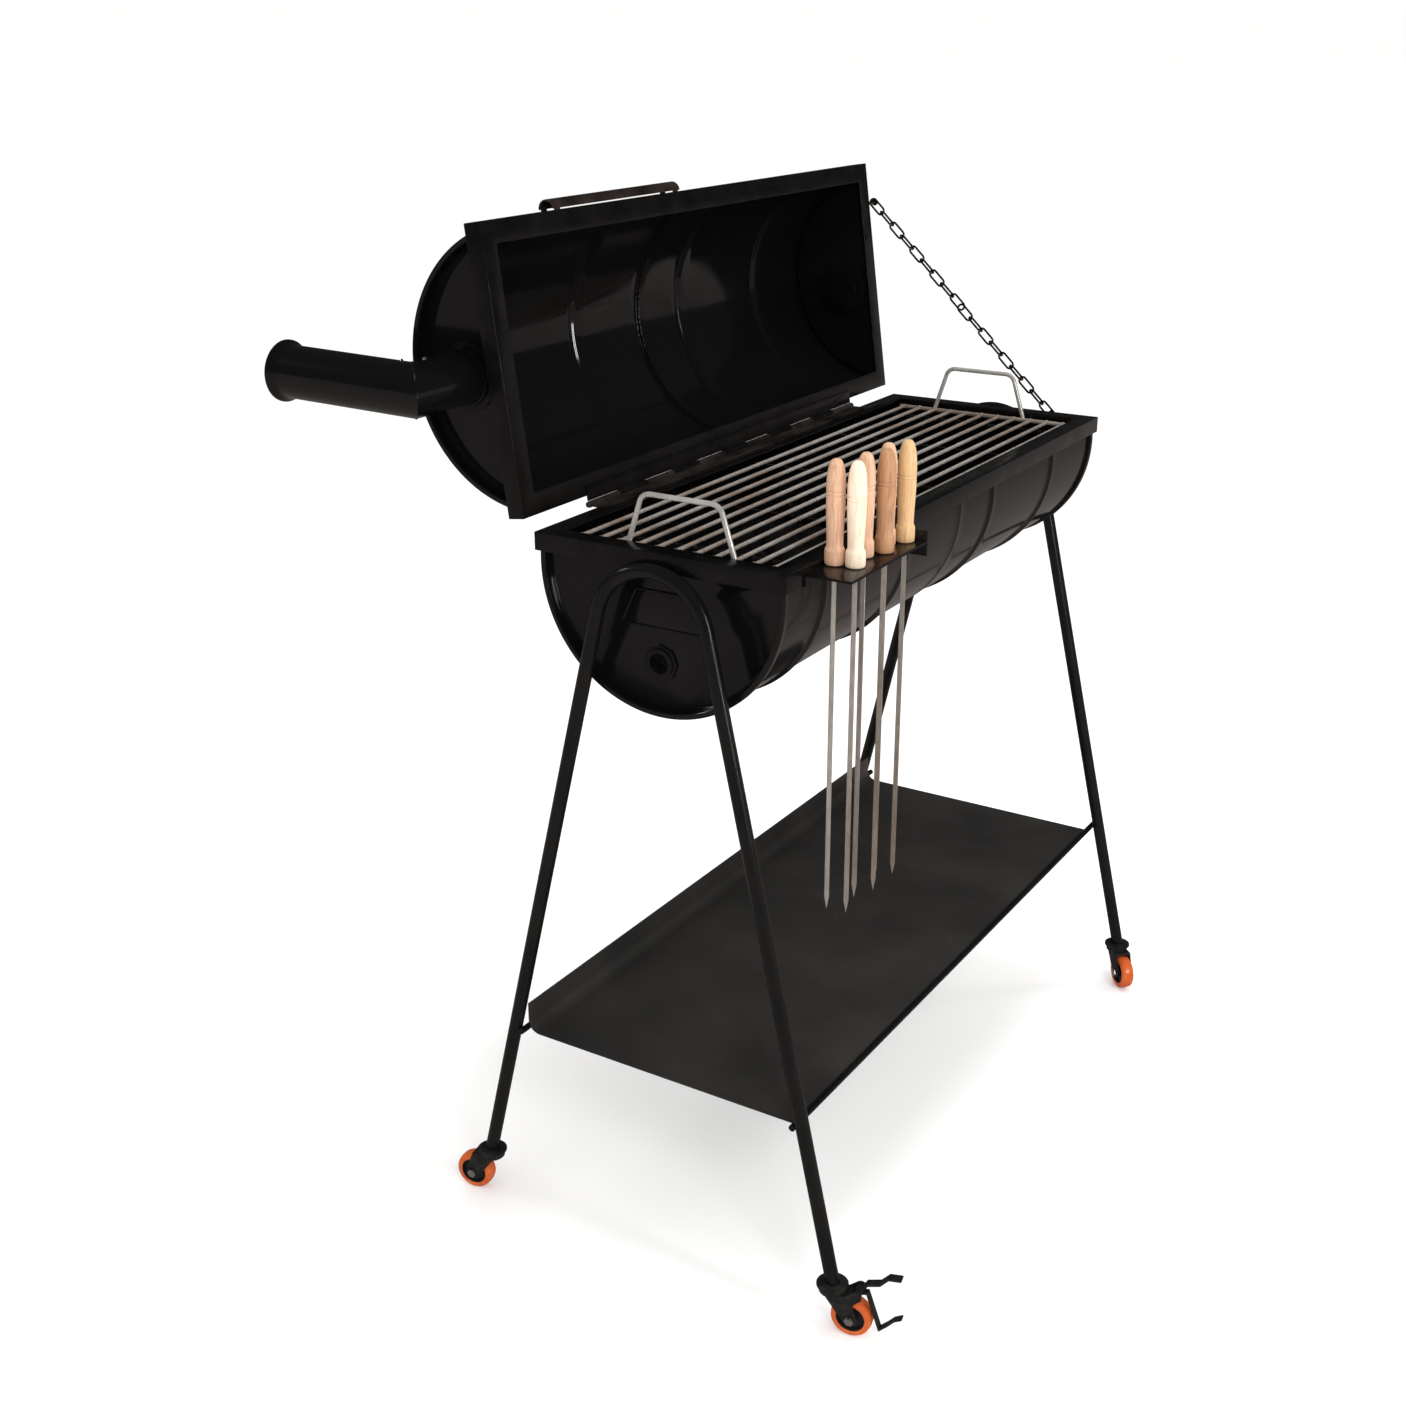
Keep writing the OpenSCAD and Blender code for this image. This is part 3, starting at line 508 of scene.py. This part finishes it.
def weld_bead(name, path, radius, seed, matrix, slot, body, spatter=0):
    """Hand-laid weld along a list of points: overlapping lumps, with drops of spatter beside it."""
    verts, faces = [], []
    rng = random.Random(seed)
    sides = 8
    off_axis = Vector((0.123, 0.456, 0.881))    # along no bead on this piece
    for i, point in enumerate(path):
        p = Vector(point)
        ahead = Vector(path[min(i + 1, len(path) - 1)]) - Vector(path[max(i - 1, 0)])
        ahead.normalize()
        side = ahead.cross(off_axis).normalized()
        up = side.cross(ahead).normalized()
        swell = radius * (0.85 + 0.3 * abs(sin(i * 0.9)) + 0.25 * rng.random())
        p = p + side * rng.uniform(-0.25, 0.25) * radius
        for k in range(sides):
            a = 2 * pi * k / sides
            verts.append(p + side * swell * cos(a) + up * swell * sin(a))
        if i:
            b = (i - 1) * sides
            for k in range(sides):
                n = (k + 1) % sides
                faces.append((b + k, b + n, b + sides + n, b + sides + k))
    faces.append(tuple(range(sides)))
    faces.append(tuple(range(len(verts) - sides, len(verts))))
    for _ in range(spatter):
        at = Vector(rng.choice(path)) + Vector((rng.gauss(0, 7), 0, 0))
        size = rng.uniform(0.25, 0.7)
        n = len(verts)
        for d in OCTAHEDRON:
            verts.append(at + Vector(d) * size)
        for a, b, c in OCTAHEDRON_FACES:
            faces.append((n + a, n + b, n + c))
    return piece(name, verts, faces, matrix, slot, body, (), 60)


def arc_points(x, r, axis_z, start, end, step):
    """Points on the drum's round at x, from one angle to another, about step apart."""
    count = max(2, int(abs(end - start) * r / step))
    angles = [start + (end - start) * i / count for i in range(count + 1)]
    return [(x, -r * cos(a), axis_z + r * sin(a)) for a in angles]


def build_panel_rib():
    """Raised rib round the blank panel pressed in the near head."""
    corners = [(-40, -17), (38, -17), (58, -59), (-58, -59), (-40, -17)]
    rib_r = 1.1
    steps = 16
    path = []
    for (y0, z0), (y1, z1) in zip(corners, corners[1:]):
        for i in range(steps):
            t = i / steps
            path.append((-HEAD_FACE - rib_r, y0 + (y1 - y0) * t, BASE_AXIS_Z + z0 + (z1 - z0) * t))
    weld_bead("panel_rib", path, rib_r, 41, TO_ROW, "drum_enamel", "root")


def build_drum():
    """Both half drums, and the two seam welds that run round the inside of each."""
    half_shell("base_drum_wall", BASE_AXIS_Z, -1, TO_ROW, "root", "base_shell")
    half_shell("lid_drum_wall", LID_AXIS_Z, 1, LID_TO_ROW, "lid", "lid_shell")
    inside = SHELL_R - SHEET
    start, end = asin(CUT_UP / inside) + 0.02, pi - asin(CUT_UP / inside) - 0.02
    bead_r, step = inside - 0.2, 2.2
    for i, x in enumerate((-4.6, 2.4)):
        over = arc_points(x, bead_r, LID_AXIS_Z, start, end, step)
        weld_bead(f"lid_seam_weld_{i}", over, 1.5, 11 + i, LID_TO_ROW, "drum_enamel", "lid", 60)
        under = arc_points(x, bead_r, BASE_AXIS_Z, 0.19, -pi - 0.19, step)
        weld_bead(f"base_seam_weld_{i}", under, 1.3, 21 + i, TO_ROW, "drum_enamel", "root", 40)


# ---- Skewers ----

WOODS = ("wood_pink", "wood_cream", "wood_pink", "wood_brown", "wood_pink", "wood_yellow")


def turned(name, profile, centre, matrix, slot, body, replaces=(), sides=48, angle=50):
    """Solid turned about a vertical axis at centre, from (radius, height) points."""
    verts, faces = [], []
    for r, z in profile:
        for k in range(sides):
            a = 2 * pi * k / sides
            verts.append((centre[0] + r * cos(a), centre[1] + r * sin(a), centre[2] + z))
    for i in range(len(profile) - 1):
        for k in range(sides):
            n = (k + 1) % sides
            faces.append((i * sides + k, i * sides + n, (i + 1) * sides + n, (i + 1) * sides + k))
    faces.append(tuple(range(sides)))
    faces.append(tuple(range(len(verts) - sides, len(verts))))
    return piece(name, verts, faces, matrix, slot, body, replaces, angle)


def handle_profile(rng, length):
    """Collar, waist, swell, two scribed grooves and a domed end, each handle a little different."""
    waist = 9.0 + rng.uniform(-0.2, 0.2)
    swell = 10.4 + rng.uniform(-0.15, 0.15)
    groove = 74 + rng.uniform(-2.5, 2.5)
    points = [(0.1, 0.0), (9.4, 0.0), (10.4, 0.6), (10.9, 1.8),
              (11.0, 6), (10.9, 15), (10.6, 17.2), (9.9, 18.8)]
    for i in range(9):
        t = i / 8
        z = 20 + (groove - 22) * t
        points.append((waist + (swell - waist) * (0.5 - 0.5 * cos(pi * t)), z))
    for start in (groove, groove + 4.2):
        points += [(swell, start - 0.9), (swell - 0.75, start - 0.25), (swell - 0.75, start + 0.25),
                   (swell + 0.05, start + 0.9)]
    top = length - 0.4
    shoulder = groove + 8
    for i in range(1, 15):
        t = i / 14
        z = shoulder + (top - shoulder) * sin(pi / 2 * t)
        points.append((max(0.1, swell * cos(pi / 2 * t) ** 0.62), z))
    return points


def build_skewers():
    """Turned handles in place of the plain ones, and blades with softened edges."""
    for i, wood in enumerate(WOODS, 1):
        rng = random.Random(100 + i)
        low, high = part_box(f"skewer_{i}_handle")
        middle = (low + high) / 2
        centre = (middle.x / MM, middle.y / MM, low.z / MM)
        profile = handle_profile(rng, (high.z - low.z) / MM)
        turned(f"skewer_{i}_grip", profile, centre, Matrix.Scale(MM, 4), wood, f"skewer_{i}",
               (f"skewer_{i}_handle",))
        softened(f"skewer_{i}_blade", 0.35, 1)


# ---- Grate ----

def build_grate_bars():
    """The cross bars again: bright where the end bars are handled, sooty under the middle."""
    obj = softened("grate_cross_bars", 0.3, 1)
    obj.data.materials.append(MATERIALS["grate_steel"])
    low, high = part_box("grate_cross_bars")
    end_zone = 0.02
    for face in obj.data.polygons:
        from_end = min(face.center.x - low.x, high.x - face.center.x)
        face.material_index = 1 if from_end < end_zone else 0


# ---- Welds, rivets and fittings ----

def blobs(name, points, size, matrix, slot, body, seed=1, flat=(1, 1, 1)):
    """Small rounded lumps, such as tack welds or rivet heads, as one piece."""
    rng = random.Random(seed)
    bm = bmesh.new()
    for point in points:
        turn = Matrix.Rotation(rng.uniform(0, pi), 4, "Z")
        scale = Matrix.Diagonal((*(size * f * rng.uniform(0.85, 1.15) for f in flat), 1))
        bmesh.ops.create_icosphere(bm, subdivisions=2, radius=1,
                                   matrix=Matrix.Translation(point) @ turn @ scale)
    verts = [v.co.copy() for v in bm.verts]
    bm.verts.index_update()
    faces = [tuple(v.index for v in f.verts) for f in bm.faces]
    bm.free()
    return piece(name, verts, faces, matrix, slot, body, (), 80)


def build_grate_welds():
    """A tack weld at both ends of every rod, and one where it crosses each middle bar."""
    rod_ys = [-125 + 25 * i for i in range(11)]
    ends = [(side * 412, y, 893.2) for side in (-1, 1) for y in rod_ys]
    blobs("grate_tack_welds", ends, 2.6, TO_ROW, "grate_steel", "grate", 3, (1.1, 1.2, 0.8))
    crossings = [(x, y, 888.9) for x in (-206, 0, 206) for y in rod_ys]
    blobs("grate_cross_welds", crossings, 1.9, TO_ROW, "grate_dark", "grate", 4, (1.3, 1.3, 0.7))


def build_chimney_welds():
    """Bead round the mitre of the elbow, and two rivets on its front."""
    elbow = (LID_TO_ROW @ Matrix.Translation((-525, 3, LID_AXIS_Z + 91))
             @ Matrix.Rotation(radians(CHIMNEY_LEAN), 4, "X"))
    bead_r = 29.6
    turns = [2 * pi * i / 90 for i in range(91)]
    seam = [(bead_r * sin(t), bead_r * cos(t), bead_r * sin(t)) for t in turns]
    weld_bead("chimney_mitre_weld", seam, 1.0, 31, elbow, "drum_enamel", "lid")
    rivets = [(0, -30.2, 16), (24, -30.2, 4)]
    blobs("chimney_rivets", rivets, 2.4, elbow, "axle_zinc", "lid", 5, (1, 0.45, 1))


def build_leg_welds():
    """Bead over the top of each leg frame, where it meets the rim."""
    for name, x, top, seed in (("near_leg_weld", -451.6, 884, 6), ("far_leg_weld", 451.6, 889, 7)):
        bead = [(x, y, top - abs(y) * 0.12) for y in range(-24, 25, 3)]
        blobs(name, bead, 2.4, TO_ROW, "tube_black", "root", seed, (0.8, 1.2, 0.9))


MATERIALS = build_materials()
add_camera()
add_floor()
add_studio()
dress_cad_nodes()
build_drum()
build_panel_rib()
build_grate_bars()
build_skewers()
build_grate_welds()
build_chimney_welds()
build_leg_welds()
for name in ("rim_frame", "lid_rim_frame", "base_bung_flange", "lid_bung_fitting", "chimney_collar"):
    softened(name, 0.8)
for name in ("skewer_rack", "hinge_base_leaf", "hinge_lid_leaf", "caster_brake_pedal", "shelf_tray",
             "base_head_near", "caster_nf_fork", "caster_nb_fork", "caster_ff_fork", "caster_fb_fork"):
    softened(name, 0.4)
